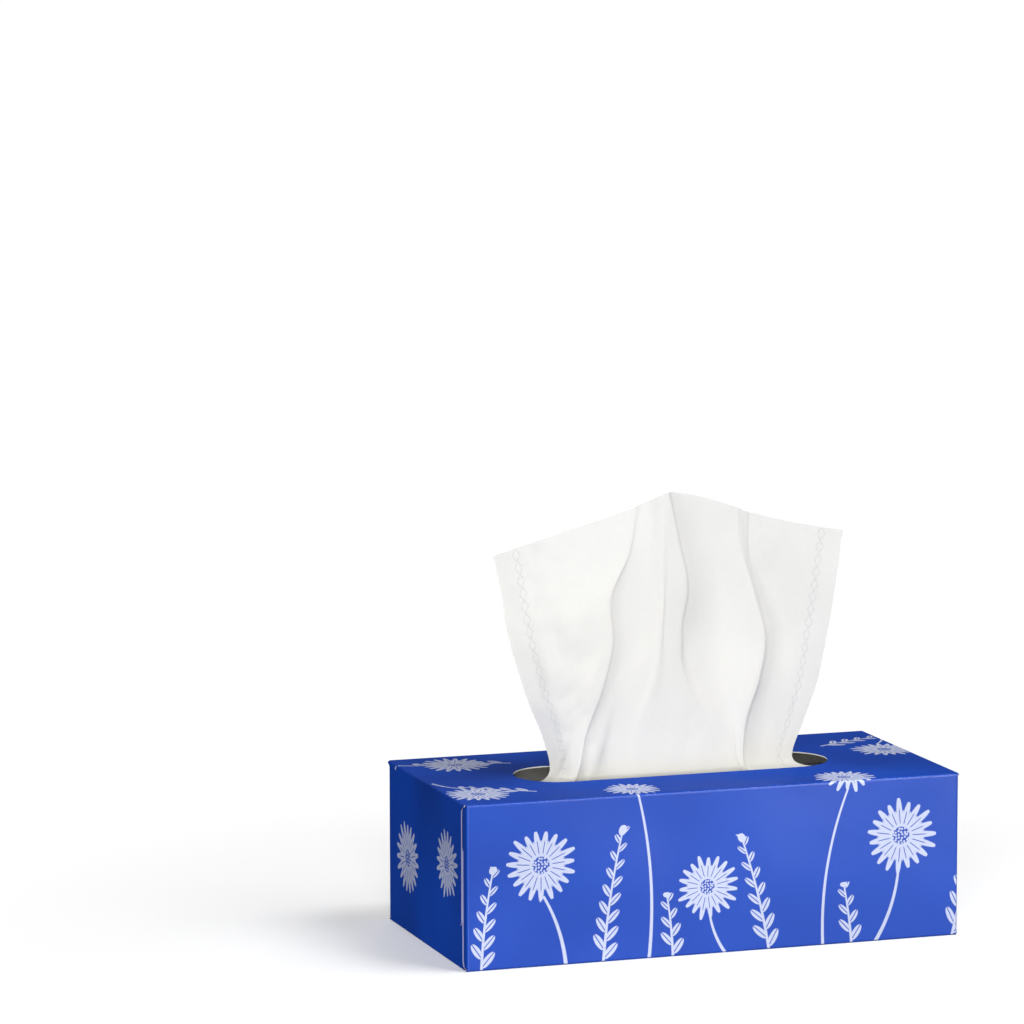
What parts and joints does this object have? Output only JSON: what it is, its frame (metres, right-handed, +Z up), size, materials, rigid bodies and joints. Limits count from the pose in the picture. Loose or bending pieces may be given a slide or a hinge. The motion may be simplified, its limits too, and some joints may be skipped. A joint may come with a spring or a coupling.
{
  "type": "tissue box",
  "caption": "Folded board carton of facial tissues with a torn-open oval in its top and the first tissue drawn up and fanned out.",
  "frame": {"origin": "middle of the carton's underside, where it rests", "axes": "+X along the carton's length, the long front panel faces -Y, +Z up"},
  "size_m": [0.22, 0.108, 0.1883],
  "materials": {
    "printed_board": "satin print outside, grey board inside",
    "stacked_tissue": "matte",
    "tissue": "matte, soft"
  },
  "bodies": {
    "root": {"carton": "printed_board", "tissue_stack": "stacked_tissue", "raised_tissue": "tissue"}
  },
  "joints": []
}
